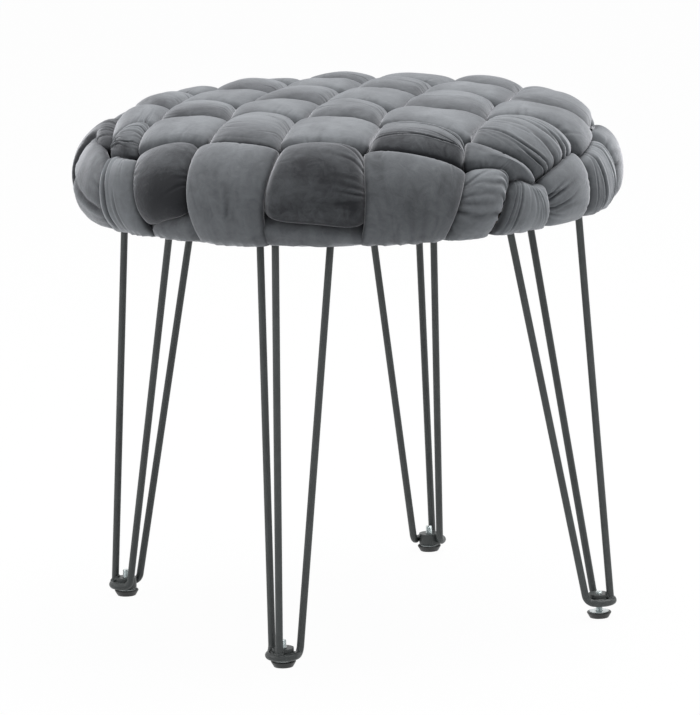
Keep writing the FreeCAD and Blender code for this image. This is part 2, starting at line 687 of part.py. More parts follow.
def add_screws():
    """Sixteen pan-head wood screws, four to a plate, as one group of separate solids."""
    shank_radius = size("screw_diameter") / 2
    head_radius = size("screw_head_diameter") / 2
    head_height = size("screw_head_height")
    profile = [
        Vector(0, 0, -head_height),
        Vector(head_radius * 0.6, 0, -head_height),
        Vector(head_radius, 0, -head_height * 0.45),
        Vector(head_radius, 0, 0),
        Vector(shank_radius, 0, 0),
        Vector(shank_radius, 0, size("screw_length") - 2 * shank_radius),
        Vector(0, 0, size("screw_length")),
        Vector(0, 0, -head_height),
    ]
    screw = Part.Face(Part.makePolygon(profile)).revolve(Vector(0, 0, 0), UP, 360)
    screws = []
    for _, angle, _ in LEGS:
        for pair in ("inner", "outer"):
            for sign in (1, -1):
                place = Vector(size("screw_%s_radius" % pair), sign * size("screw_%s_offset" % pair),
                               plate_bottom)
                copy = screw.copy()
                copy.translate(place)
                copy.rotate(Vector(0, 0, 0), UP, angle)
                screws.append(copy)
    add_shape("plate_screws", Part.makeCompound(screws))


add_bands()
add_foam_core()
drilled_disc("seat_board", "$board_radius", "$board_thickness", "$board_bottom")
drilled_disc("dust_cover", "$board_radius - $cover_inset", "$cover_thickness", "$cover_bottom")
for side, angle, lifted in LEGS:
    add_leg(side, angle, lifted)
    add_foot(side, angle)
add_screws()
doc.recompute()

# Every feature must have worked, and every sub-part must be valid, before anything is written

for feature in doc.Objects:
    if "Invalid" in feature.State or "Error" in feature.State:
        raise RuntimeError("feature failed: " + feature.Name)
for node in nodes:
    if node.Shape.isNull() or not node.Shape.isValid() or not node.Shape.Solids:
        raise RuntimeError("sub-part is not a valid solid: " + node.Label)

os.makedirs("parts", exist_ok=True)
for node in nodes:
    node.Shape.exportStep("parts/%s.step" % node.Label)
    print(node.Label, len(node.Shape.Solids), "solids", round(node.Shape.Volume), "mm3")
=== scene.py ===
import math

import bmesh
import bpy
import numpy as np
from mathutils import Matrix, Vector


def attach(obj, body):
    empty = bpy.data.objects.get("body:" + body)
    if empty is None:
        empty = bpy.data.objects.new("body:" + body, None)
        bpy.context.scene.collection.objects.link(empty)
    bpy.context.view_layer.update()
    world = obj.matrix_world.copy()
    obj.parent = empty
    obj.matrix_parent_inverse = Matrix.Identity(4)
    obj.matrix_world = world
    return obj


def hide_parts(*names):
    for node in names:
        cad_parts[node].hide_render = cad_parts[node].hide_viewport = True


# A round stool: a woven seat of stuffed velvet bands on four hairpin legs with levelling feet.
# Lengths are in millimetres up to the point where a mesh is made.

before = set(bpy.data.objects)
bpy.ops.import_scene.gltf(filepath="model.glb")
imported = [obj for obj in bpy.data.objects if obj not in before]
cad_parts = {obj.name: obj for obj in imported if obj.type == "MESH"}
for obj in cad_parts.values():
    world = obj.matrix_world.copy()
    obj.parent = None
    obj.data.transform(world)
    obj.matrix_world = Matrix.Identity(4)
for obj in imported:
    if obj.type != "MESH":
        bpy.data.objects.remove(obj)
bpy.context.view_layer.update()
MM = 0.001


# Form of the seat, the same as the solids'

STOOL_HEIGHT = 460.0
SEAT_DIAMETER = 480.0
CROWN_RADIUS = 2000.0
SHOULDER_RADIUS = 38.0
TUCK_RADIUS = 60.0
STRAP = 5.4
STRAP_CLEARANCE = 0.3
LAYER_GAP = 0.6
BEND_EASE = 0.6
TOP_PAD = 20.0
SIDE_PAD = 17.2
DIVE = 11.0
BANDS = 6
COLUMN_PITCH, ROW_PITCH = 69.0, 75.0
COLUMN_SHIFT, ROW_SHIFT = -4.0, -18.0
COLUMN_TURN, ROW_TURN = 5.5, 0.5
BOARD_BOTTOM = 369.0
BOARD_TOP = 384.0

# The bands' lower edge, where the velvet turns in under the board

LIP_START_HEIGHT = 371.0
LIP_RADIUS = 3.5
LIP_DEPTH = 6.4
TAIL_DEPTH = 1.9
TAIL_RADIUS = 188.0

UPPER_LAYER = STRAP_CLEARANCE + STRAP + LAYER_GAP
FOAM_TOP = STOOL_HEIGHT - UPPER_LAYER - TOP_PAD
SIDE_RADIUS = SEAT_DIAMETER / 2 - UPPER_LAYER - SIDE_PAD
CROWN_ANGLE = math.asin((SIDE_RADIUS - SHOULDER_RADIUS) / (CROWN_RADIUS - SHOULDER_RADIUS))
CROWN_RUN = CROWN_RADIUS * CROWN_ANGLE
SHOULDER_RUN = SHOULDER_RADIUS * (math.pi / 2 - CROWN_ANGLE)
WIDEST_HEIGHT = (FOAM_TOP - CROWN_RADIUS * (1 - math.cos(CROWN_ANGLE))
                 - SHOULDER_RADIUS * math.cos(CROWN_ANGLE))
LIP_ANGLE = math.asin((WIDEST_HEIGHT - LIP_START_HEIGHT) / TUCK_RADIUS)
SIDE_RUN = CROWN_RUN + SHOULDER_RUN
LIP_RUN = SIDE_RUN + TUCK_RADIUS * LIP_ANGLE
LIP_TURN = math.pi / 2 - LIP_ANGLE
UNDER_RUN = LIP_RUN + LIP_RADIUS * LIP_TURN
LIP_RADIUS_AT = SIDE_RADIUS - TUCK_RADIUS * (1 - math.cos(LIP_ANGLE)) - LIP_RADIUS * math.cos(LIP_ANGLE)
LIP_HEIGHT_AT = LIP_START_HEIGHT + LIP_RADIUS * math.sin(LIP_ANGLE)
TAIL_RUN = UNDER_RUN + LIP_RADIUS_AT - TAIL_RADIUS


def smooth(value):
    value = np.clip(value, 0.0, 1.0)
    return value * value * (3 - 2 * value)


def outline(run):
    """Radius, height and outward normal of the bands' inner side after a run from the middle of the top."""
    run = np.asarray(run, float)
    crown = run / CROWN_RADIUS
    shoulder = CROWN_ANGLE + (run - CROWN_RUN) / SHOULDER_RADIUS
    tuck = math.pi / 2 + (run - SIDE_RUN) / TUCK_RADIUS
    lip = math.pi / 2 + LIP_ANGLE + (run - LIP_RUN) / LIP_RADIUS
    parts = [run <= CROWN_RUN, run <= SIDE_RUN, run <= LIP_RUN, run <= UNDER_RUN]
    angle = np.select(parts, [crown, shoulder, tuck, lip], math.pi)
    out, up = np.sin(angle), np.cos(angle)
    radius = np.select(parts, [
        CROWN_RADIUS * out,
        SIDE_RADIUS - SHOULDER_RADIUS * (1 - out),
        SIDE_RADIUS - TUCK_RADIUS * (1 - out),
        LIP_RADIUS_AT + LIP_RADIUS * out,
    ], LIP_RADIUS_AT - (run - UNDER_RUN))
    height = np.select(parts, [
        FOAM_TOP - CROWN_RADIUS * (1 - up),
        WIDEST_HEIGHT + SHOULDER_RADIUS * up,
        WIDEST_HEIGHT + TUCK_RADIUS * up,
        LIP_HEIGHT_AT + LIP_RADIUS * up,
    ], LIP_HEIGHT_AT - LIP_RADIUS)
    return radius, height, out, up


def seat_points(flat, above):
    """Wrap points of the flat weave over the seat, some distance above its inner side."""
    run = np.hypot(flat[..., 0], flat[..., 1])
    around = np.arctan2(flat[..., 1], flat[..., 0])
    radius, height, out, up = outline(run)
    reach = radius + out * above
    return np.stack([reach * np.cos(around), reach * np.sin(around), height + up * above], -1)


BEND_START = 0.8 * CROWN_RUN


def pad_depth(run):
    """Full depth of a pad: most on top, less on the side, rounded in at the lower edge, flat underneath."""
    to_side = smooth((run - BEND_START) / (0.2 * CROWN_RUN + 0.6 * SHOULDER_RUN))
    depth = TOP_PAD + (SIDE_PAD - TOP_PAD) * to_side
    to_lip = np.clip((run - SIDE_RUN) / (UNDER_RUN - SIDE_RUN), 0, 1)
    depth = LIP_DEPTH + (depth - LIP_DEPTH) * (1 - to_lip ** 2.4) ** (1 / 2.0)
    under = smooth((run - UNDER_RUN + 2) / 9)
    return depth + (TAIL_DEPTH - depth) * under


PLATE_INNER, PLATE_OUTER = 136.0, 211.0             # the mounting plates' ends, from the middle
PLATE_INNER_HALF, PLATE_OUTER_HALF = 40.0, 17.0     # half their width at each end
SQUASHED = 0.12


def leg_squash(points):
    """Share of its depth that cloth keeps under the legs' mounting plates."""
    keep = np.ones(points.shape[:-1])
    for quarter in range(4):
        angle = quarter * math.pi / 2
        along = points[..., 0] * math.cos(angle) + points[..., 1] * math.sin(angle)
        aside = np.abs(-points[..., 0] * math.sin(angle) + points[..., 1] * math.cos(angle))
        share = np.clip((along - PLATE_INNER) / (PLATE_OUTER - PLATE_INNER), 0, 1)
        half = PLATE_INNER_HALF + (PLATE_OUTER_HALF - PLATE_INNER_HALF) * share
        outside = np.hypot(np.maximum(aside - half, 0), np.maximum(along - PLATE_OUTER, 0))
        keep = np.minimum(keep, SQUASHED + (1 - SQUASHED) * smooth(outside / 6))
    return keep


# Noise from sums of waves, the same in each run

def wave_noise(seed, *coordinates, length, octaves=3):
    """Smooth noise of about -1 to 1 over some coordinates, its longest wave about one length."""
    rng = np.random.default_rng(seed)
    total = np.zeros(np.broadcast(*coordinates).shape)
    strength, scale = 1.0, 2 * math.pi / length
    for _ in range(octaves):
        part = np.zeros_like(total)
        for _ in range(5):
            direction = rng.normal(size=len(coordinates))
            direction /= np.linalg.norm(direction)
            phase = rng.uniform(0, 2 * math.pi)
            along = sum(c * d for c, d in zip(coordinates, direction))
            part += np.sin(along * scale * rng.uniform(0.7, 1.3) + phase)
        total += strength * part / 3
        strength *= 0.5
        scale *= 2.1
    return total / 1.75


# The weave

def weave_axis(degrees):
    angle = math.radians(degrees)
    return np.array([math.cos(angle), math.sin(angle)])


ALONG_ROWS = weave_axis(ROW_TURN)
ALONG_COLUMNS = weave_axis(90 + COLUMN_TURN)
COLUMN_EDGES = [COLUMN_SHIFT + COLUMN_PITCH * (n - BANDS / 2) for n in range(BANDS + 1)]
ROW_EDGES = [ROW_SHIFT + ROW_PITCH * (n - BANDS / 2) for n in range(BANDS + 1)]

# How far the weave's corners stray from square, because the bands are laid by hand: one line for each
# edge between cross bands, from the front, and in it each edge between lengthwise bands, from the left,
# with one more at each end where the cross bands hang down the side
STRAY_ASIDE = np.array([
    [80, 2, -9, -20, -23, 1, 5, -25, -77],
    [48, 33, -3, -14, -14, -10, -1, -33, -72],
    [16, 32, -8, -12, -17, -14, -2, -14, -30],
    [4, 14, -10, -15, -13, -15, 0, 6, -4],
    [15, 22, -2, -2, -7, -9, -2, 7, 3],
    [48, 45, 4, -2, -5, -5, -2, -4, -17],
    [60, 20, 5, 0, 0, 0, -5, -20, -60],
], float)
STRAY_AHEAD = np.array([
    [28, 25, 27, 16, 3, 10, 18, 51, 28],
    [2, 28, 7, -6, -18, -9, 14, 34, -22],
    [30, -22, -6, 5, 2, -7, -32, -17, -29],
    [28, 18, -3, -7, 0, -15, -23, -26, -31],
    [5, 0, 0, -5, 0, -5, -22, -39, -44],
    [3, -5, 0, 0, 0, -5, -15, -32, -27],
    [0, -8, -5, 0, 0, 0, -8, -20, -20],
], float)


def spline_weights(share):
    square, cube = share ** 2, share ** 3
    return (-0.5 * cube + square - 0.5 * share, 1.5 * cube - 2.5 * square + 1,
            -1.5 * cube + 2 * square + 0.5 * share, 0.5 * cube - 0.5 * square)


def between_corners(table, column_offset, row_offset):
    """Smooth value of a table of the weave's corners at offsets across its columns and rows."""
    last_row, last_column = table.shape[0] - 1, table.shape[1] - 1
    u = np.clip((column_offset - COLUMN_EDGES[0]) / COLUMN_PITCH + 1, 0, last_column)
    v = np.clip((row_offset - ROW_EDGES[0]) / ROW_PITCH, 0, last_row)
    i = np.minimum(u.astype(int), last_column - 1)
    j = np.minimum(v.astype(int), last_row - 1)
    total = np.zeros(np.broadcast(u, v).shape)
    for dj, row_weight in enumerate(spline_weights(v - j), start=-1):
        for di, column_weight in enumerate(spline_weights(u - i), start=-1):
            corner = table[np.clip(j + dj, 0, last_row), np.clip(i + di, 0, last_column)]
            total = total + row_weight * column_weight * corner
    return total


def weave_point(column_offset, row_offset):
    """Point of the flat seat at offsets across the columns and across the rows of the hand-laid weave."""
    aside = column_offset + between_corners(STRAY_ASIDE, column_offset, row_offset)
    ahead = row_offset + between_corners(STRAY_AHEAD, column_offset, row_offset)
    return aside[..., None] * ALONG_ROWS + ahead[..., None] * ALONG_COLUMNS


CROSS_DOME, LENGTHWISE_DOME = 2.0, 2.8      # how squarely the pads swell along their band
CROSS_WIDTHS = (2.6, -6.5)          # each side past half the pitch, of a full pad and of a band that dives
LENGTHWISE_WIDTHS = (1.8, -3.0)
CROSS_FULLER = 1.12         # the cross bands stand a little prouder
EDGE_OVERLAP = 3.0          # lengthwise pads reach this far over the next bands, cross pads 0.6 as far
HEM_HEIGHT = 361.6          # lowest part of the pads, where they are pulled flat under the board
HEM_SOFTNESS = 1.2
BAND_WAIST = 0.36           # height of a band's widest line, as a share of its depth

GRID = 2.1
TOP_POINTS = 120
BOTTOM_POINTS = 14


def ring_grid(places):
    """For rings of points round a band: place along it, shares of the half width and the depth, and how far up."""
    top = np.linspace(0, math.pi, TOP_POINTS, endpoint=False)
    bottom = np.linspace(math.pi, 2 * math.pi, BOTTOM_POINTS, endpoint=False)
    angle = np.concatenate([top, bottom])
    cosine, sine = np.cos(angle), np.sin(angle)
    share = np.sign(cosine) * np.abs(cosine) ** 0.74
    height = BAND_WAIST + np.where(sine >= 0, (1 - BAND_WAIST) * np.abs(sine) ** 0.84,
                                   -BAND_WAIST * np.abs(sine) ** 0.6)
    return np.broadcast_arrays(places[:, None], share, height, np.clip(sine, 0, 1))


def widths(pitch, rows):
    """Half width of a full pad, and of a band where it dives or lies under a neighbour."""
    return [pitch / 2 + more for more in (CROSS_WIDTHS if rows else LENGTHWISE_WIDTHS)]


def weave_state(place, edges, over, pitch, rows, open_ends=False):
    """Rise (0 under a neighbour, 1 over it), fullness and half width along a band."""
    full_half, dive_half = widths(pitch, rows)
    past_edge = 0.6 * EDGE_OVERLAP if rows else EDGE_OVERLAP
    rise = np.zeros_like(place)
    full = np.zeros_like(place)
    half = np.full_like(place, dive_half)
    for n in np.flatnonzero(over):
        low, high = edges[n] - past_edge, edges[n + 1] + past_edge
        share = (2 * place - low - high) / (high - low)
        after, before = place - low, high - place
        if open_ends and n == 0:
            share, after = np.maximum(share, 0), before
        if open_ends and n == len(over) - 1:
            share, before = np.minimum(share, 0), after
        inside = np.minimum(after, before)
        into = np.clip(inside / DIVE, 0, 1)
        near = inside > 0
        rise = np.where(near, smooth(0.5 * into + 0.5 * into ** 0.7), rise)
        swell = np.clip(1 - np.abs(share) ** (CROSS_DOME if rows else LENGTHWISE_DOME), 0, 1) ** 0.5
        full = np.where(near, swell * np.clip(2 * inside / DIVE, 0, 1) ** 0.5, full)
        if rows:
            into = np.sqrt(np.clip(1 - share ** 2, 0, 1))
        half = np.where(near, dive_half + (full_half - dive_half) * smooth(into), half)
    return rise, full, half


DEEPEST_CREASE = 3.2


def valley(off, lip):
    """Section of a crease at some widths from its middle: a groove with a low lip on each side."""
    return -np.exp(-off ** 1.4) + lip * np.exp(-((off - 2.0) / 0.9) ** 2)


class Band:
    """One stuffed velvet band, laid out as rings round it, one after another along it."""

    def __init__(self, kind, number):
        self.rows = kind == "cross"
        edges, crossings = (ROW_EDGES, COLUMN_EDGES) if self.rows else (COLUMN_EDGES, ROW_EDGES)
        self.low, self.high = edges[number], edges[number + 1]
        self.middle = (self.low + self.high) / 2
        self.pitch = self.high - self.low
        self.crossings = list(crossings)
        self.over = [(number + other) % 2 == int(self.rows) for other in range(BANDS)]
        if self.rows:
            # the cross bands also pass the two bands that run round the rim
            self.crossings = [crossings[0] - COLUMN_PITCH] + self.crossings + [crossings[-1] + COLUMN_PITCH]
            self.over = [not self.over[0]] + self.over + [not self.over[-1]]
        self.seed = 100 * (number + 1) + (50 if self.rows else 0)
        self.key = (kind, number)
        self.find_stops()

    def flat(self, offset, place):
        return weave_point(place, offset) if self.rows else weave_point(offset, place)

    def find_stops(self):
        """Where lines along the band reach the ends of its tails, to each side."""
        self.stop_offsets = np.linspace(self.low - 12, self.high + 12, 25)
        places = np.arange(60.0, 420.0)
        self.stops = []
        for way in (-1, 1):
            flat = self.flat(*np.broadcast_arrays(self.stop_offsets[:, None], way * places))
            beyond = np.hypot(flat[..., 0], flat[..., 1]) >= TAIL_RUN
            self.stops.append(places[np.argmax(beyond, 1)])
        self.end = max(stops.max() for stops in self.stops)

    def state(self, place):
        rise, full, half = weave_state(place, self.crossings, self.over, self.pitch, self.rows, open_ends=True)
        if self.rows:
            return rise, full, half
        # where a lengthwise band comes out from under its last neighbour and runs on to the lower edge
        full_half, dive_half = widths(self.pitch, self.rows)
        for outside, over in ((self.crossings[0] - place, self.over[0]),
                              (place - self.crossings[-1], self.over[-1])):
            spread = smooth(np.clip((outside + 3) / 12, 0, 1))
            if not over:
                rise = np.where(outside > -3, 0.6 * spread, rise)
                full = np.where(outside > -3, 0.85 * spread, full)
                wider = smooth((outside + 16) / 12)
                half = np.where(outside > -16, dive_half + (full_half - dive_half) * wider, half)
        return rise, full, half

    def build(self):
        places = np.linspace(-self.end, self.end, int(2 * self.end / GRID))
        place, share, height, upper = ring_grid(places)
        # towards the tails, each line along the band stops at the same run from the middle
        nominal = self.middle + share * self.pitch / 2
        first, last = (np.interp(nominal, self.stop_offsets, stops) for stops in self.stops)
        stop = np.where(place < 0, first, last)
        place = place * (1 + (stop / self.end - 1) * (np.abs(place) / self.end) ** 0.8)
        rise, full, half = self.state(place)
        for start, stop, wider in WIDER.get(self.key, []):
            half = half + wider * smooth((place - start) / 8) * smooth((stop - place) / 8)
        aside = share * half
        flat = self.flat(self.middle + aside, place)
        if self.rows:
            free = 1 - under_rim_bands(flat)
            rise, full = rise * free, full * free
        return self.raise_from(flat, place, aside, half, rise, full, height, upper)

    def raise_from(self, flat, place, aside, half, rise, full, height, upper):
        """Points of the rings over the flat seat, with what the material and the creases need."""
        run = np.minimum(np.hypot(flat[..., 0], flat[..., 1]), TAIL_RUN)
        depth = pad_depth(run)
        ease = BEND_EASE * smooth((run - BEND_START) / (CROWN_RUN - BEND_START))
        lift = STRAP + LAYER_GAP + ease
        floor = STRAP_CLEARANCE + rise * lift * (1 - smooth((run - LIP_RUN) / 6))
        strap = np.minimum(STRAP, depth)
        swell = np.maximum(depth - strap, 0) * full * (CROSS_FULLER if self.rows else 1.0)
        base = seat_points(flat, np.zeros_like(run))
        keep = 1 + (leg_squash(base) - 1) * smooth((run - UNDER_RUN + 1.5) / 3)
        thick = (strap + swell) * keep
        uneven = wave_noise(self.seed, flat[..., 0], flat[..., 1], length=52, octaves=2)
        thick = thick * (1 + 0.045 * uneven * full)
        above = floor * keep + thick * height
        crease = self.creases(place, aside, half) * upper ** 0.6 * keep * smooth((LIP_RUN + 2 - run) / 12)
        points = seat_points(flat, above + crease)
        lower = (points[..., 2] - HEM_HEIGHT) / HEM_SOFTNESS
        points[..., 2] = HEM_HEIGHT + HEM_SOFTNESS * np.logaddexp(0, lower)
        return points, place, aside, rise, upper, crease

    def creases(self, place, aside, half):
        """Depth of the gathers that fan out of each dive, and of the single folds."""
        total = np.zeros_like(place)
        rng = np.random.default_rng(self.seed + 7)
        for n, over in enumerate(self.over):
            if not over:
                continue
            for end, way in ((self.crossings[n], 1), (self.crossings[n + 1], -1)):
                usual = (0.95 if self.rows else 0.6, 0.65)
                busy, longer = GATHERS.get(self.key, {}).get((n, way), usual)
                count = int(rng.integers(7, 12) * (0.55 + 0.5 * min(busy, 2.0)))
                into = (place - end) * way
                inside = (into > -2) & (into < self.pitch * 1.1)
                for _ in range(count):
                    spot = rng.uniform(-0.95, 0.95)
                    reach = (rng.uniform(4, 11) + 26 * rng.uniform() ** 3) * longer
                    width = rng.uniform(0.8, 1.7)
                    depth = rng.uniform(0.4, 1.4) * busy
                    fan = 1 - 0.36 * np.exp(-np.maximum(into, 0) / 16)
                    line = (spot * half * 0.96 * fan + rng.normal() * 0.10 * into
                            + rng.uniform(0.3, 1.1) * np.sin(into / rng.uniform(5, 9) + spot * 20))
                    groove = valley(np.abs(aside - line) / width, 0.32)
                    fade = np.exp(-(np.maximum(into, 0) / reach) ** 2) * smooth((into + 2) / 4)
                    total += np.where(inside, depth * groove * fade, 0)
        for start, stop, first_share, last_share, width, depth in FOLDS.get(self.key, []):
            along = (place - start) / (stop - start)
            line = (first_share + (last_share - first_share) * smooth(along)) * half
            groove = valley(np.abs(aside - line) / width, 0.35)
            total += depth * groove * smooth(along * 5 + 0.3) * smooth((1 - along) * 5 + 0.3)
        return np.maximum(total, -DEEPEST_CREASE)


# Gathers unlike the usual: (cell along the band, end it starts from): shares of the usual depth and length
GATHERS = {
    ("cross", 0): {(6, 1): (1.6, 1.7), (6, -1): (2.0, 1.8), (2, 1): (0.7, 0.8), (4, 1): (0.4, 0.8),
                   (4, -1): (1.0, 0.9)},
    ("cross", 1): {(1, 1): (2.3, 1.9), (1, -1): (1.6, 1.2), (3, -1): (1.3, 1.1), (3, 1): (0.8, 0.9),
                   (5, -1): (2.6, 2.4), (5, 1): (0.6, 0.6), (7, 1): (1.5, 3.4)},
    ("cross", 2): {(6, -1): (2.2, 2.0), (6, 1): (0.7, 1.0), (0, -1): (1.9, 1.3), (4, -1): (0.9, 1.0)},
    ("cross", 3): {(7, 1): (0.7, 2.2), (5, 1): (1.2, 1.1)},
    ("cross", 4): {(6, 1): (1.1, 1.3)},
    ("lengthwise", 0): {(2, 1): (1.8, 0.8), (2, -1): (1.0, 0.7), (0, -1): (0.8, 1.0)},
    ("lengthwise", 2): {(4, 1): (1.3, 0.6)},
    ("lengthwise", 5): {(3, 1): (1.1, 0.9), (1, 1): (1.0, 0.7)},
    ("rim", 1): {(1, 1): (2.5, 1.5), (1, -1): (0.9, 1.0), (3, 1): (1.2, 1.2)},
    ("rim", 0): {(0, -1): (1.5, 1.4), (0, 1): (1.2, 1.0), (4, -1): (1.2, 1.0)},
}

# Where a band lies wider than its place in the weave: start and stop along it, and by how much each side
WIDER = {
    ("cross", 0): [(196, 320, 11.5)],
    ("cross", 1): [(200, 320, 9.0)],
    ("cross", 5): [(196, 320, 9.0)],
    ("lengthwise", 1): [(-330, -226, 7.0)],
    ("lengthwise", 3): [(-330, -226, 3.0)],
}

# Single folds: start and stop along the band, share of the half width at each, width, depth
FOLDS = {
    ("lengthwise", 0): [(-265, -150, -0.05, -0.25, 2.6, 5.5), (-262, -200, 0.45, 0.30, 1.4, 1.2)],
    ("rim", 0): [(-185, -70, 0.10, -0.15, 2.2, 2.6)],
    ("cross", 3): [(205, 262, -0.45, -0.30, 2.0, 2.4), (205, 262, 0.25, 0.35, 2.0, 2.4)],
    ("cross", 5): [(-130, -95, 0.2, 0.3, 1.5, 1.2)],
}


RIM_SECTION = 235.0     # run at which lengths along a rim band are measured
RIM_PITCH = 52.0

# One more band runs round the rim on each side, outside the last lengthwise one. Angles are from straight
# left or right, towards the back: its inner edge's run, how far its outer edge lies ahead of that, the
# angles of its crossings, and where it is over the cross bands.
RIM_BANDS = {
    "left": {
        "inner": [(-60, 228), (-42, 217), (-30, 209), (-12, 201), (0, 197), (15, 199), (28, 207), (35, 217),
                  (38, 234), (40.5, 250), (43, 256)],
        "lean": [(-44, 0), (-14, -3), (12, -4), (43, 0)],
        "crossings": [-47, -17, 2, 12.5, 28, 43],
        "over": [True, False, True, False, True],
        "seed": 1300,
    },
    "right": {
        "inner": [(-38, 240), (-28, 228), (-17, 218), (-8, 214), (5, 209), (28, 215), (50, 235)],
        "lean": [(-36, 0), (-28, 4), (-11, 0), (40, 0)],
        "crossings": [-36, -28.4, -11.1, 5.4, 28, 46],
        "over": [False, True, False, True, False],
        "seed": 1400,
    },
}


def rim_angle(flat, side):
    """Degrees towards the back from straight left or right."""
    return np.degrees(np.arctan2(flat[..., 1], flat[..., 0] * (1 if side == "right" else -1)))


def under_rim_bands(flat):
    """Share by which points of the flat seat are held down by a band along the rim."""
    run = np.hypot(flat[..., 0], flat[..., 1])
    held = np.zeros_like(run)
    for side, layout in RIM_BANDS.items():
        angle = rim_angle(flat, side)
        past = smooth((run - np.interp(angle, *zip(*layout["inner"])) + 2) / 12)
        for n, over in enumerate(layout["over"]):
            if over:
                low, high = layout["crossings"][n], layout["crossings"][n + 1]
                between = smooth((angle - low - 0.6) / 4.5) * smooth((high - angle - 0.6) / 4.5)
                held = np.maximum(held, past * between)
    return held


class RimBand(Band):
    """Band along the rim, outside the last lengthwise band."""

    def __init__(self, side):
        layout = RIM_BANDS[side]
        self.rows = False
        self.side = side
        self.inner, self.lean, self.over = layout["inner"], layout["lean"], layout["over"]
        self.crossings = [math.radians(angle) * RIM_SECTION for angle in layout["crossings"]]
        self.seed = layout["seed"]
        self.key = ("rim", 1 if side == "right" else 0)
        self.pitch = RIM_PITCH

    def build(self):
        low, high = self.crossings[0], self.crossings[-1]
        place, share, height, upper = ring_grid(np.linspace(low, high, int((high - low) / GRID)))
        rise, full, half = weave_state(place, self.crossings, self.over, self.pitch, self.rows)
        turn = place / RIM_SECTION
        inner = np.interp(np.degrees(turn), *zip(*self.inner))
        turn = turn + np.radians(np.interp(np.degrees(turn), *zip(*self.lean))) * (share + 1) / 2
        outer = UNDER_RUN + 6.0
        width = (outer - inner) / 2
        run = (outer + inner) / 2 + share * width * half / (self.pitch / 2)
        around = turn if self.side == "right" else math.pi - turn
        flat = np.stack([run * np.cos(around), run * np.sin(around)], -1)
        aside = share * half
        return self.raise_from(flat, place, aside, half, rise, full, height, upper)


def mesh_piece(name, points, faces):
    """Smooth-shaded piece with its corners in millimetres."""
    mesh = bpy.data.meshes.new(name)
    mesh.from_pydata((points.reshape(-1, 3) * MM).tolist(), [], faces)
    mesh.validate()
    mesh.polygons.foreach_set("use_smooth", [True] * len(mesh.polygons))
    mesh.update()
    piece = bpy.data.objects.new(name, mesh)
    bpy.context.collection.objects.link(piece)
    return piece


def ring_numbers(count, around):
    return np.arange(count * around).reshape(count, around)


def ring_quads(index, closed=False):
    """Faces from each ring of numbered points to the next, and from the last to the first if closed."""
    a, b = (index, np.roll(index, -1, 0)) if closed else (index[:-1], index[1:])
    return np.stack([a, np.roll(a, -1, 1), np.roll(b, -1, 1), b], -1).reshape(-1, 4).tolist()


def closed_tube(name, points, uv, tone):
    """Mesh of rings with both ends closed, a UV of lengths in metres, and the pile's tone with painted shade at
    each corner.
    """
    index = ring_numbers(*points.shape[:2])
    faces = ring_quads(index)
    for middle, ring in ((index.size, index[0][::-1]), (index.size + 1, index[-1])):
        faces += [[middle, *pair] for pair in np.stack([ring, np.roll(ring, -1)], -1).tolist()]
    ends = np.stack([points[0].mean(0), points[-1].mean(0)])
    piece = mesh_piece(name, np.concatenate([points.reshape(-1, 3), ends]), faces)
    layer = piece.data.uv_layers.new(name="UVMap")
    flat_uv = np.concatenate([uv.reshape(-1, 2), np.zeros((2, 2))]) * MM
    corners = np.empty(len(piece.data.loops), dtype=np.int32)
    piece.data.loops.foreach_get("vertex_index", corners)
    layer.data.foreach_set("uv", flat_uv[corners].astype(np.float32).ravel())
    pile_tone_and_shade = piece.data.attributes.new("pile_tone_and_shade", "FLOAT", "POINT")
    pile_tone_and_shade.data.foreach_set("value", np.append(tone.ravel(), [0, 0]).astype(np.float32))
    return piece


# Materials

def set_inputs(made, inputs):
    """Link the inputs of a node that are given as sockets, and set the others on the node."""
    for key, value in inputs.items():
        if isinstance(value, bpy.types.NodeSocket):
            made.id_data.links.new(value, made.inputs[key])
        else:
            made.inputs[key].default_value = value


def node(tree, kind, inputs=None, **settings):
    """Add a node to a tree, with its own settings and its inputs."""
    made = tree.nodes.new(kind)
    for key, value in settings.items():
        setattr(made, key, value)
    set_inputs(made, inputs or {})
    return made


def new_material(name):
    """Material, its shader and the place on the object."""
    material = bpy.data.materials.new(name)
    material.use_nodes = True
    place = node(material.node_tree, "ShaderNodeTexCoord").outputs["Object"]
    return material, material.node_tree.nodes["Principled BSDF"], place


def ramp(factor, *stops):
    """Blend between two stops, each a position and a colour or a grey."""
    made = node(factor.id_data, "ShaderNodeValToRGB", {"Fac": factor})
    for element, (position, colour) in zip(made.color_ramp.elements, stops):
        element.position = position
        element.color = (*(colour if isinstance(colour, tuple) else (colour,) * 3), 1)
    return made.outputs["Color"]


def math_node(operation, first, second):
    return node(first.id_data, "ShaderNodeMath", {0: first, 1: second}, operation=operation).outputs[0]


def weighted(*terms):
    """Sum of values, each times its weight."""
    total = None
    for value, weight in terms:
        term = math_node("MULTIPLY", value, weight)
        total = term if total is None else math_node("ADD", total, term)
    return total


def noise(vector, scale, detail=3.0, roughness=0.5, distortion=0.0):
    inputs = {"Vector": vector, "Scale": scale, "Detail": detail, "Roughness": roughness, "Distortion": distortion}
    return node(vector.id_data, "ShaderNodeTexNoise", inputs).outputs["Fac"]


def cell_distance(vector, scale, randomness=1.0):
    inputs = {"Vector": vector, "Scale": scale, "Randomness": randomness}
    return node(vector.id_data, "ShaderNodeTexVoronoi", inputs).outputs["Distance"]


def bump(height, strength, distance, normal=None):
    inputs = {"Height": height, "Strength": strength, "Distance": distance}
    if normal is not None:
        inputs["Normal"] = normal
    return node(height.id_data, "ShaderNodeBump", inputs).outputs["Normal"]


def stretched(vector, scale):
    return node(vector.id_data, "ShaderNodeMapping", {"Vector": vector, "Scale": scale}).outputs["Vector"]


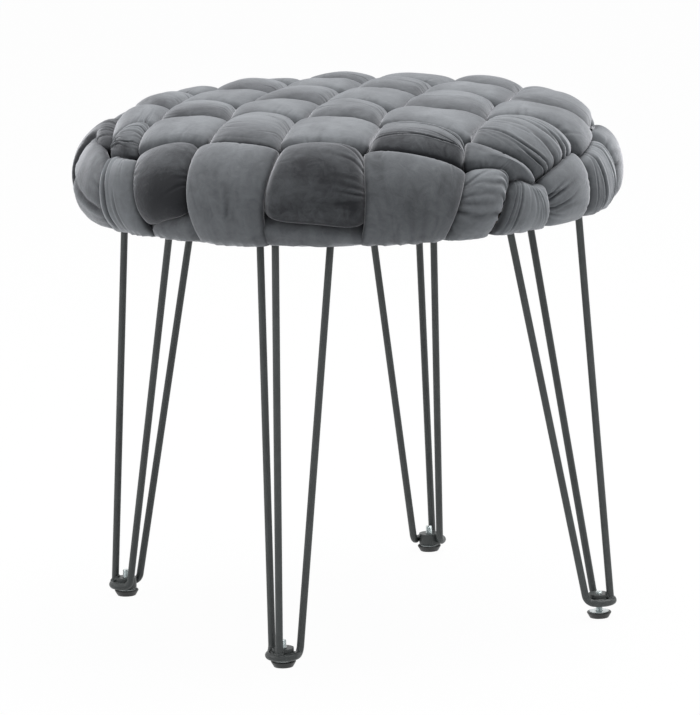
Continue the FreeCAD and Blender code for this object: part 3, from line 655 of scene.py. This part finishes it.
def velvet():
    """Cut-pile velvet: brushed patches, fine pile grain, painted shade in creases, on tucked sides and on front
    flanks, and a soft sheen.
    """
    material, shader, place = new_material("grey_velvet")
    tree = material.node_tree
    uv = node(tree, "ShaderNodeUVMap", uv_map="UVMap").outputs["UV"]
    # The pile's tone at each corner, which carries painted shade and painted light.
    pile_tone_and_shade = node(tree, "ShaderNodeAttribute", attribute_name="pile_tone_and_shade").outputs["Fac"]
    brushed = noise(stretched(uv, (0.45, 1.0, 1.0)), 34, 3, 0.55, 0.6)
    mottled = noise(place, 95, 4, 0.6, 1.2)
    pile = noise(place, 1500, 2, 0.7)
    tone = weighted((brushed, 0.62), (mottled, 0.30), (pile, 0.16))
    tone = math_node("ADD", tone, math_node("SUBTRACT", pile_tone_and_shade, 0.5))
    set_inputs(shader, {
        "Base Color": ramp(tone, (0.22, (0.030, 0.031, 0.034)), (0.86, (0.222, 0.235, 0.247))),
        "Roughness": ramp(tone, (0.2, 0.98), (0.9, 0.82)),
        "Normal": bump(mottled, 0.25, 0.0012, bump(pile, 0.35, 0.0004)),
        "Sheen Weight": 0.85,
        "Sheen Roughness": 0.4,
        "Sheen Tint": (0.95, 0.96, 1.0, 1),
        "Specular IOR Level": 0.12,
    })
    return material


def black_finish(name, colours, roughness, clouds, grain, relief):
    """Black finish with faint clouds in its colour and its gloss, and a fine grain."""
    material, shader, place = new_material(name)
    cloud = noise(place, *clouds)
    set_inputs(shader, {
        "Base Color": ramp(cloud, *colours),
        "Roughness": ramp(cloud, *roughness),
        "Normal": bump(noise(place, *grain), *relief),
    })
    return material


def zinc_plate(name, low, high, rough_low, rough_high):
    """Bright zinc-plated steel with faint clouding and fine scratches."""
    material, shader, place = new_material(name)
    cloud = noise(place, 260, 4, 0.6)
    scratch = noise(stretched(place, (1, 1, 14)), 900, 2, 0.5)
    set_inputs(shader, {
        "Base Color": ramp(cloud, (0.3, low), (0.7, high)),
        "Roughness": ramp(scratch, (0.3, rough_low), (0.7, rough_high)),
        "Normal": bump(scratch, 0.1, 0.0002),
        "Metallic": 1.0,
    })
    return material


def plywood():
    """Birch plywood: long grain on the faces and alternating plies on the edge."""
    material, shader, place = new_material("birch_plywood")
    tree = material.node_tree
    grain = noise(stretched(place, (1.2, 16, 1.2)), 22, 5, 0.6, 0.4)
    face = ramp(grain, (0.3, (0.47, 0.32, 0.19)), (0.7, (0.66, 0.50, 0.33)))
    height = node(tree, "ShaderNodeSeparateXYZ", {"Vector": place}).outputs["Z"]
    plies = math_node("SINE", math_node("MULTIPLY", height, 2 * math.pi / 0.0031), 0.0)
    edge = ramp(plies, (0.35, (0.30, 0.19, 0.11)), (0.65, (0.62, 0.47, 0.31)))
    normal = node(tree, "ShaderNodeNewGeometry").outputs["Normal"]
    upright = node(tree, "ShaderNodeSeparateXYZ", {"Vector": normal}).outputs["Z"]
    is_face = math_node("GREATER_THAN", math_node("ABSOLUTE", upright, 0.0), 0.7)
    mixed = node(tree, "ShaderNodeMix", {"Factor": is_face, 6: edge, 7: face}, data_type="RGBA")
    set_inputs(shader, {
        "Base Color": mixed.outputs[2],
        "Normal": bump(grain, 0.3, 0.0005),
        "Roughness": 0.62,
    })
    return material


def cover_cloth():
    """Black spun-bonded cloth with its grid of bond points."""
    material, shader, place = new_material("black_cover_cloth")
    fibres = noise(place, 1300, 4, 0.75, 1.0)
    dots = ramp(cell_distance(place, 620.0, 0.15), (0.12, 0.0), (0.4, 1.0))
    set_inputs(shader, {
        "Base Color": ramp(fibres, (0.3, 0.012), (0.75, 0.050)),
        "Normal": bump(weighted((dots, 0.6), (fibres, 0.4)), 0.5, 0.0004),
        "Roughness": 0.9,
    })
    return material


def foam():
    """Open-cell charcoal upholstery foam."""
    material, shader, place = new_material("upholstery_foam")
    cells = cell_distance(place, 700.0)
    set_inputs(shader, {
        "Base Color": ramp(cells, (0.1, (0.020, 0.020, 0.022)), (0.6, (0.075, 0.075, 0.080))),
        "Normal": bump(cells, 0.6, 0.0008),
        "Roughness": 0.95,
    })
    return material


VELVET = velvet()
COAT = black_finish(
    "black_powder_coat", [(0.3, (0.038, 0.043, 0.043)), (0.75, (0.067, 0.076, 0.075))],
    [(0.3, 0.36), (0.7, 0.50)], clouds=(40, 4, 0.6), grain=(900, 2, 0.6), relief=(0.22, 0.0003))
ZINC = zinc_plate("zinc_plate", (0.52, 0.57, 0.58), (0.72, 0.77, 0.77), 0.2, 0.34)
SCREW_STEEL = zinc_plate("screw_steel", (0.42, 0.42, 0.41), (0.60, 0.60, 0.58), 0.26, 0.42)
PLASTIC = black_finish(
    "black_moulded_plastic", [(0.3, (0.018, 0.020, 0.020)), (0.7, (0.030, 0.032, 0.032))],
    [(0.3, 0.34), (0.7, 0.46)], clouds=(180, 3, 0.5), grain=(2200, 2, 0.6), relief=(0.2, 0.0002))
PLYWOOD = plywood()
COVER = cover_cloth()
FOAM = foam()


def dress(piece, material, stands_for=None, body="root"):
    """Give a piece its material, its body and the node that it replaces."""
    piece.data.materials.append(material)
    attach(piece, body)
    if stands_for:
        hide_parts(stands_for)


# The woven seat

# Pads whose pile lies otherwise than their band's: by the cell along the band, how much lighter or darker
BRUSHED = {
    ("cross", 0): {2: -0.27, 4: -0.22, 6: 0.10},
    ("cross", 1): {1: -0.04, 3: 0.02, 5: -0.12, 7: 0.20},
    ("cross", 2): {0: -0.30, 6: 0.06},
    ("cross", 3): {7: 0.12},
    ("lengthwise", 0): {0: 0.15},
    ("lengthwise", 4): {0: -0.06},
    ("rim", 0): {0: -0.10, 2: -0.02},
    ("rim", 1): {1: 0.16, 3: 0.08},
}


def pile_tone_and_painted_shade(band, place, aside, rise, upper, crease):
    """Tone of the velvet: the pile's lie, with painted shade and painted light for how light falls on the bands:
    0.5 is the middle, more is lighter.
    """
    across = np.clip(aside / (0.5 * band.pitch), -1, 1)
    painted_flank_shade = np.zeros_like(across)
    # Cross bands: painted shade on the front flank and painted light on the back flank, for how light falls on
    # them; lengthwise bands: a lighter pile tone, with painted shade towards their edges.
    if band.rows:
        painted_flank_shade = -0.13 * smooth(-across * 0.8 + 0.2)
        lie_with_painted_shading = -0.01 + 0.15 * smooth(across * 0.8 + 0.5)
    else:
        lie_with_painted_shading = 0.06 - 0.05 * np.abs(across) ** 3
    for cell, change in BRUSHED.get(band.key, {}).items():
        low, high = band.crossings[cell], band.crossings[cell + 1]
        after, before = smooth((place - low) / 6 + 0.5), smooth((high - place) / 6 + 0.5)
        inside = before if cell == 0 else after if cell == len(band.over) - 1 else after * before
        kept = 1 - 0.8 * inside * (change < -0.2)
        lie_with_painted_shading, painted_flank_shade = lie_with_painted_shading * kept + change * inside, painted_flank_shade * kept
        if change > 0.08:
            painted_flank_shade = painted_flank_shade * (1 - 0.75 * inside)
    # Painted shade on each band's lower sides and where it dives under its neighbours.
    painted_tuck_shade = 0.34 * (1 - smooth(upper / 0.52)) + 0.20 * (1 - smooth(rise / 0.9))
    # Painted shade in the creases' grooves and painted light on their lips.
    return 0.5 + lie_with_painted_shading + painted_flank_shade - painted_tuck_shade + 0.15 * crease


def add_band(name, band, node_name=None):
    points, place, aside, rise, upper, crease = band.build()
    tone = pile_tone_and_painted_shade(band, place, aside, rise, upper, crease)
    piece = closed_tube(name, points, np.stack([place, aside], -1), tone)
    dress(piece, VELVET, node_name)


for kind in ("lengthwise", "cross"):
    for number in range(BANDS):
        add_band(f"{kind}_velvet_{number + 1}", Band(kind, number), f"{kind}_band_{number + 1}")

for side in RIM_BANDS:
    add_band("rim_velvet_" + side, RimBand(side))


FOAM_AROUND = 96
FOAM_MIDDLE = 0.02      # its rings close to this radius in the middle


def add_foam():
    """Foam core: a closed ring with the seat's outline, down to the board."""
    last_run = SIDE_RUN + TUCK_RADIUS * math.asin((WIDEST_HEIGHT - BOARD_TOP) / TUCK_RADIUS)
    runs = np.concatenate([np.linspace(0, CROWN_RUN, 14), np.linspace(CROWN_RUN, last_run, 22)[1:]])
    radius, height, _, _ = outline(runs)
    radius = np.concatenate([[FOAM_MIDDLE], [FOAM_MIDDLE], radius[1:], [FOAM_MIDDLE]])
    height = np.concatenate([[BOARD_TOP], height, [BOARD_TOP]])
    angle = np.linspace(0, 2 * math.pi, FOAM_AROUND, endpoint=False)[:, None]
    points = np.stack([radius * np.cos(angle), radius * np.sin(angle), height + 0 * angle], -1)
    index = ring_numbers(FOAM_AROUND, len(radius))
    after = np.roll(index, -1, 0)
    quads = np.stack([index[:, :-1], after[:, :-1], after[:, 1:], index[:, 1:]], -1).reshape(-1, 4)
    piece = mesh_piece("foam_pad", points, quads.tolist())
    dress(piece, FOAM, "foam_core")


add_foam()


# Legs: welded rods, threaded studs and screws

LEG_TURNS = {"right": 0, "back": 90, "left": 180, "front": 270}
LIFT = {"right": 5.0}
COVER_THICKNESS, PLATE_THICKNESS = 0.8, 3.0
PLATE_BOTTOM = BOARD_BOTTOM - COVER_THICKNESS - PLATE_THICKNESS
ROD_RADIUS = 3.175
OUTER_ROD_TOP = 207.0
HAIRPIN_TOP = (151.3, 32.0)
FOOT_CIRCLE = 219.3
LOOP_HEIGHT, LOOP_RADIUS = 10.0, 12.4
OUTER_ROD_FOOT = FOOT_CIRCLE + LOOP_RADIUS - 1.7
BUSH_TOP, WELD_ON_LOOP = 6.3, 2.9       # above the loop's centre
BEAD_RADIUS = 9.12 + 0.75               # just outside the bush
WELD_ANGLE = np.linspace(0, 2 * math.pi, 72, endpoint=False)


def swept(path, radius, aside, closed=False, around=16):
    """Rings of a round section along a path that never runs the way of aside."""
    path = np.asarray(path, float)
    ahead = np.roll(path, -1, 0) - np.roll(path, 1, 0) if closed else np.gradient(path, axis=0)
    ahead /= np.linalg.norm(ahead, axis=1)[:, None]
    first = np.cross(ahead, aside)
    first /= np.linalg.norm(first, axis=1)[:, None]
    second = np.cross(ahead, first)
    angle = np.linspace(0, 2 * math.pi, around, endpoint=False)
    ring = first[:, None] * np.cos(angle)[None, :, None] + second[:, None] * np.sin(angle)[None, :, None]
    return path[:, None] + ring * np.broadcast_to(radius, len(path))[:, None, None]


def turned(points, degrees):
    angle = math.radians(degrees)
    x, y = points[..., 0], points[..., 1]
    return np.stack([x * math.cos(angle) - y * math.sin(angle), x * math.sin(angle) + y * math.cos(angle),
                     points[..., 2]], -1)


def ring_mesh(name, parts, sharp=35):
    """Piece made of several sets of rings: each closed on itself, or open with its two ends closed."""
    vertices, faces, start = [], [], 0
    for rings, closed in parts:
        index = start + ring_numbers(*rings.shape[:2])
        faces += ring_quads(index, closed)
        if not closed:
            faces += [index[0][::-1].tolist(), index[-1].tolist()]
        vertices.append(rings.reshape(-1, 3))
        start += index.size
    piece = mesh_piece(name, np.concatenate(vertices), faces)
    shape = bmesh.new()
    shape.from_mesh(piece.data)
    bmesh.ops.recalc_face_normals(shape, faces=shape.faces)
    shape.to_mesh(piece.data)
    shape.free()
    piece.data.set_sharp_from_angle(angle=math.radians(sharp))
    piece.data.update()
    return piece


def weld_ring(centre, height, thickness, seed, lean=0.0):
    """Weld bead round a rod: a closed, slightly rippled ring at a height, or one height for each angle."""
    path = np.stack([
        centre[0] - lean * height + ROD_RADIUS * np.cos(WELD_ANGLE),
        centre[1] + ROD_RADIUS * np.sin(WELD_ANGLE),
        centre[2] + height + 0 * WELD_ANGLE,
    ], -1)
    ripple = 1 + 0.13 * np.sin(11 * WELD_ANGLE + seed) + 0.07 * np.sin(5 * WELD_ANGLE + 2 * seed)
    return swept(path, thickness * ripple, (0, 0, 1), closed=True, around=12)


def add_welded_rod(side):
    """Third rod of a leg, with the beads that weld it to its plate, the hairpin's loop and the bush."""
    loop_height = LOOP_HEIGHT + LIFT.get(side, 0.0)
    foot = np.array([OUTER_ROD_FOOT, 0.0, loop_height])
    top = np.array([OUTER_ROD_TOP, 0.0, PLATE_BOTTOM - 0.15])
    path = top + (foot - top) * np.linspace(0, 1, 24)[:, None]
    lean = (OUTER_ROD_FOOT - OUTER_ROD_TOP) / (PLATE_BOTTOM - loop_height)
    seed = LEG_TURNS[side] / 40.0
    # the lower bead lies on the loop outside and climbs over the bush inside
    inwards = np.abs((WELD_ANGLE + math.pi) % (2 * math.pi) - math.pi)
    lower = WELD_ON_LOOP + (BUSH_TOP + 0.2 - WELD_ON_LOOP) * smooth((inwards - 1.75) / 0.8)
    parts = [
        (swept(path, ROD_RADIUS, (0, 1, 0), around=28), False),
        (weld_ring(foot, lower, 1.25, seed, lean), True),
        (weld_ring(top, -0.35, 1.2, seed + 1), True),
    ]
    for way in (1, -1):
        hairpin = (HAIRPIN_TOP[0], way * HAIRPIN_TOP[1], PLATE_BOTTOM)
        parts.append((weld_ring(hairpin, -0.5, 1.2, seed + way), True))
    # two beads between the bush and the loop, to each side of the rod
    bend = np.linspace(-1.9, 1.9, 60)
    bend = bend[np.abs(bend) > 0.42]
    for half in (bend[bend < 0], bend[bend > 0]):
        bead = np.stack([FOOT_CIRCLE + BEAD_RADIUS * np.cos(half), BEAD_RADIUS * np.sin(half),
                         loop_height + 2.35 + 0 * half], -1)
        taper = smooth((half - half[0] + 0.03) / 0.25) * smooth((half[-1] + 0.03 - half) / 0.25)
        thickness = 0.2 + taper * (0.75 + 0.09 * np.sin(34 * half + seed))
        parts.append((swept(bead, thickness, (0, 0, 1), around=10), False))
    piece = ring_mesh(side + "_welded_rod", [(turned(rings, LEG_TURNS[side]), closed) for rings, closed in parts])
    dress(piece, COAT, side + "_outer_rod")


THREAD_PITCH, THREAD_ROOT, THREAD_CREST = 1.0, 2.42, 3.0
STUD_HEAD = (4.5, 2.1, 4.0)     # radius, underside and top of the head held in the foot
STUD_TOP = 23.3


def add_threaded_stud(side):
    """Levelling stud with its M6 thread, its round head and its chamfered tip."""
    rows = 9
    heights = np.append(np.arange(STUD_HEAD[2], STUD_TOP, THREAD_PITCH / rows), STUD_TOP)
    angle = np.linspace(0, 2 * math.pi, 28, endpoint=False)
    turn = (heights[:, None] / THREAD_PITCH - angle[None, :] / (2 * math.pi)) % 1.0
    ridge = np.clip(1.3 * (1 - np.abs(2 * turn - 1)) - 0.12, 0, 1)
    cut_in = smooth((heights - STUD_HEAD[2] - 0.8) / 1.2)[:, None]
    radius = THREAD_ROOT + 0.25 * (1 - cut_in) + (THREAD_CREST - THREAD_ROOT) * ridge * cut_in
    radius = np.minimum(radius, THREAD_CREST - 0.9 * np.maximum(heights - STUD_TOP + 0.8, 0)[:, None])
    head_radius, head_low, head_high = STUD_HEAD
    head = [(0.6, head_low), (head_radius - 0.25, head_low), (head_radius, head_low + 0.25),
            (head_radius, head_high - 0.25), (head_radius - 0.25, head_high)]
    radius = np.concatenate([np.repeat([[r] for r, _ in head], len(angle), 1), radius,
                             np.full((1, len(angle)), 1.2)])
    heights = np.concatenate([[z for _, z in head], heights, [STUD_TOP]])
    rings = np.stack([FOOT_CIRCLE + radius * np.cos(angle), radius * np.sin(angle),
                      np.repeat(heights[:, None], len(angle), 1)], -1)
    piece = ring_mesh(side + "_threaded_stud", [(turned(rings, LEG_TURNS[side]), False)])
    dress(piece, ZINC, side + "_foot_stud", body=side + "_stud")


SCREW_PLACES = [(143.0, 17.0), (143.0, -17.0), (190.0, 12.0), (190.0, -12.0)]
SCREW_PROFILE = [    # radius, and height above the plate's underside
    (0.05, -2.3), (0.4, -2.3), (0.8, -2.3), (1.2, -2.28), (1.6, -2.25), (2.0, -2.18), (2.4, -2.05), (2.9, -1.8),
    (3.4, -1.45), (3.8, -1.0), (4.0, -0.5), (4.0, -0.1), (3.9, 0.0), (2.0, 0.0), (2.0, 11.0), (0.1, 15.0)]


def add_screws():
    """Pan-head wood screws with cross recesses, four to a plate, each turned its own way."""
    radius, height, angle = np.broadcast_arrays(*np.array(SCREW_PROFILE).T[:, :, None],
                                                np.linspace(0, 2 * math.pi, 40, endpoint=False))
    rng = np.random.default_rng(61)
    parts = []
    for degrees in LEG_TURNS.values():
        for x, y in SCREW_PLACES:
            slot_turn = angle + rng.uniform(0, math.pi / 2)
            narrow = np.minimum(np.abs(np.cos(slot_turn)), np.abs(np.sin(slot_turn))) * radius
            recess = 1.3 * smooth((0.62 - narrow) / 0.3) * smooth((2.3 - radius) / 0.5) * (height < -2)
            rings = np.stack([x + radius * np.cos(angle), y + radius * np.sin(angle),
                              PLATE_BOTTOM + height + recess], -1)
            parts.append((turned(rings, degrees), False))
    dress(ring_mesh("cross_head_screws", parts, sharp=50), SCREW_STEEL, "plate_screws")


# Underside: dust cover and staples

COVER_RADIUS = 209.0
STAPLES = 56
STAPLE_CIRCLE = 192.5
STAPLE_RADIUS = 0.42
STAPLE_PATH = [     # along its crown, and height below or into the cloth
    (-5.2, 2.2), (-5.15, 0.5), (-4.8, -0.1), (-2.0, -0.25), (2.0, -0.25), (4.8, -0.1), (5.15, 0.5), (5.2, 2.2)]


def add_dust_cover():
    """Thin non-woven sheet stapled under the board: it sags a little between the plates."""
    rings, around = ((60, 288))
    share = np.linspace(0.01, 1, rings)[:, None]
    angle = np.linspace(0, 2 * math.pi, around, endpoint=False)[None, :]
    radius = share * (COVER_RADIUS + 0.5 * np.cos(STAPLES * angle))
    x, y = radius * np.cos(angle), radius * np.sin(angle)
    free = (leg_squash(np.stack([x, y], -1)) - SQUASHED) / (1 - SQUASHED)
    slack = 1.5 * (1 - smooth(radius / 160)) + 0.5 * wave_noise(71, x, y, length=90, octaves=3)
    pulled = 0.35 * np.cos(STAPLES * angle) * smooth((radius - 170) / 30)
    sag = free * np.maximum(slack + pulled + 0.5, 0) * smooth((COVER_RADIUS - radius) / 12)
    index = ring_numbers(rings, around)
    piece = mesh_piece("dust_cover_sheet", np.stack([x, y, BOARD_BOTTOM - 0.35 - sag], -1),
                       ring_quads(index) + [index[0].tolist()])
    dress(piece, COVER, "dust_cover")


def add_staples():
    """Wire staples that hold the bands' tails to the board."""
    rng = np.random.default_rng(83)
    under = LIP_HEIGHT_AT - LIP_RADIUS - STRAP_CLEARANCE - TAIL_DEPTH
    parts = []
    for n in range(STAPLES):
        turn = 2 * math.pi * (n + 0.5 * rng.uniform()) / STAPLES
        spot = (STAPLE_CIRCLE + rng.uniform(-1.2, 1.2)) * np.array([math.cos(turn), math.sin(turn)])
        if leg_squash(spot) < 0.99:
            continue
        lean = turn + math.pi / 2 + rng.normal() * 0.12
        x, y = math.cos(lean), math.sin(lean)
        path = [(spot[0] + s * x, spot[1] + s * y, under + z) for s, z in STAPLE_PATH]
        parts.append((swept(path, STAPLE_RADIUS, (-y, x, 0), around=8), False))
    dress(ring_mesh("cover_staples", parts), SCREW_STEEL)


for side in LEG_TURNS:
    add_welded_rod(side)
    add_threaded_stud(side)
add_screws()
add_dust_cover()
add_staples()


# Carried-over nodes

def coat_node(name, material):
    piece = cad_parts[name]
    piece.data.materials.clear()
    piece.data.materials.append(material)


for side in LEG_TURNS:
    for part in ("_leg_plate", "_hairpin_rod", "_leg_bush"):
        coat_node(side + part, COAT)
    coat_node(side + "_foot_cap", ZINC)
    coat_node(side + "_foot_base", PLASTIC)
coat_node("seat_board", PLYWOOD)


# Stage, camera and light

def seen_rays(tree):
    """1 for rays from the camera, in mirrors and through glass too, and 0 for those that light the object."""
    rays = node(tree, "ShaderNodeLightPath")
    indirect = math_node("MAXIMUM", rays.outputs["Is Glossy Ray"], rays.outputs["Is Transmission Ray"])
    return math_node("MAXIMUM", rays.outputs["Is Camera Ray"], indirect)


FLOOR_REACH = 40000.0
FLOOR_WHITENESS = 0.975     # the rest is its own colour, with the object's shadow


def add_floor():
    corners = np.array([(-1, -1, 0), (1, -1, 0), (1, 1, 0), (-1, 1, 0)]) * FLOOR_REACH
    floor = mesh_piece("studio_floor", corners, [(0, 1, 2, 3)])
    material, shader, place = new_material("pale_floor")
    tree = material.node_tree
    set_inputs(shader, {
        "Base Color": ramp(noise(place, 3.0, 3, 0.5), (0.3, 0.80), (0.7, 0.83)),
        "Roughness": 0.8,
        "Specular IOR Level": 0.1,
    })
    glow = node(tree, "ShaderNodeEmission", {"Color": (1, 1, 1, 1), "Strength": 1.0}).outputs[0]
    share = math_node("MULTIPLY", seen_rays(tree), FLOOR_WHITENESS)
    mix = node(tree, "ShaderNodeMixShader", {"Fac": share, 1: shader.outputs[0], 2: glow}).outputs[0]
    tree.links.new(mix, tree.nodes["Material Output"].inputs["Surface"])
    floor.data.materials.append(material)


def add_world():
    world = bpy.data.worlds.new("studio")
    bpy.context.scene.world = world
    world.use_nodes = True
    tree = world.node_tree
    tree.nodes.clear()
    ambient = node(tree, "ShaderNodeBackground", {"Color": (0.95, 0.97, 1.0, 1), "Strength": 0.36}).outputs[0]
    white = node(tree, "ShaderNodeBackground", {"Color": (1, 1, 1, 1), "Strength": 1.0}).outputs[0]
    mix = node(tree, "ShaderNodeMixShader", {"Fac": seen_rays(tree), 1: ambient, 2: white}).outputs[0]
    node(tree, "ShaderNodeOutputWorld", {"Surface": mix})


def add_softbox(name, place, target, width, height, power):
    light = bpy.data.lights.new(name, "AREA")
    light.shape = "RECTANGLE"
    light.size, light.size_y, light.energy = width, height, power
    lamp = bpy.data.objects.new(name, light)
    bpy.context.collection.objects.link(lamp)
    lamp.location = place
    lamp.rotation_euler = (Vector(target) - Vector(place)).to_track_quat("-Z", "Y").to_euler()


CAMERA_TURN, CAMERA_PAN, CAMERA_PITCH, CAMERA_ROLL = 17.5, 0.032, -10.99, -1.59     # degrees
CAMERA_DISTANCE, CAMERA_HEIGHT = 4.535, 1.105       # metres
CAMERA_LENS = 264.6


def add_camera():
    """Camera where the photograph's was, found from the rods and feet."""
    data = bpy.data.cameras.new("photo_camera")
    data.sensor_fit, data.sensor_height, data.lens = "VERTICAL", 36.0, CAMERA_LENS
    camera = bpy.data.objects.new("photo_camera", data)
    bpy.context.collection.objects.link(camera)
    heading = math.radians(CAMERA_TURN)
    place = (CAMERA_DISTANCE * math.sin(heading), -CAMERA_DISTANCE * math.cos(heading), CAMERA_HEIGHT)
    camera.matrix_world = (Matrix.Translation(place)
                           @ Matrix.Rotation(heading + math.radians(CAMERA_PAN), 4, "Z")
                           @ Matrix.Rotation(math.radians(90 + CAMERA_PITCH), 4, "X")
                           @ Matrix.Rotation(math.radians(CAMERA_ROLL), 4, "Z"))
    bpy.context.scene.camera = camera


add_floor()
add_world()
add_camera()
add_softbox("overhead_softbox", (0.3, 0.6, 2.6), (0, 0, 0.4), 2.0, 2.0, 86)
add_softbox("left_softbox", (-2.6, -1.6, 1.6), (0, 0, 0.3), 1.4, 2.0, 18)
bpy.context.scene.view_settings.view_transform = "Standard"
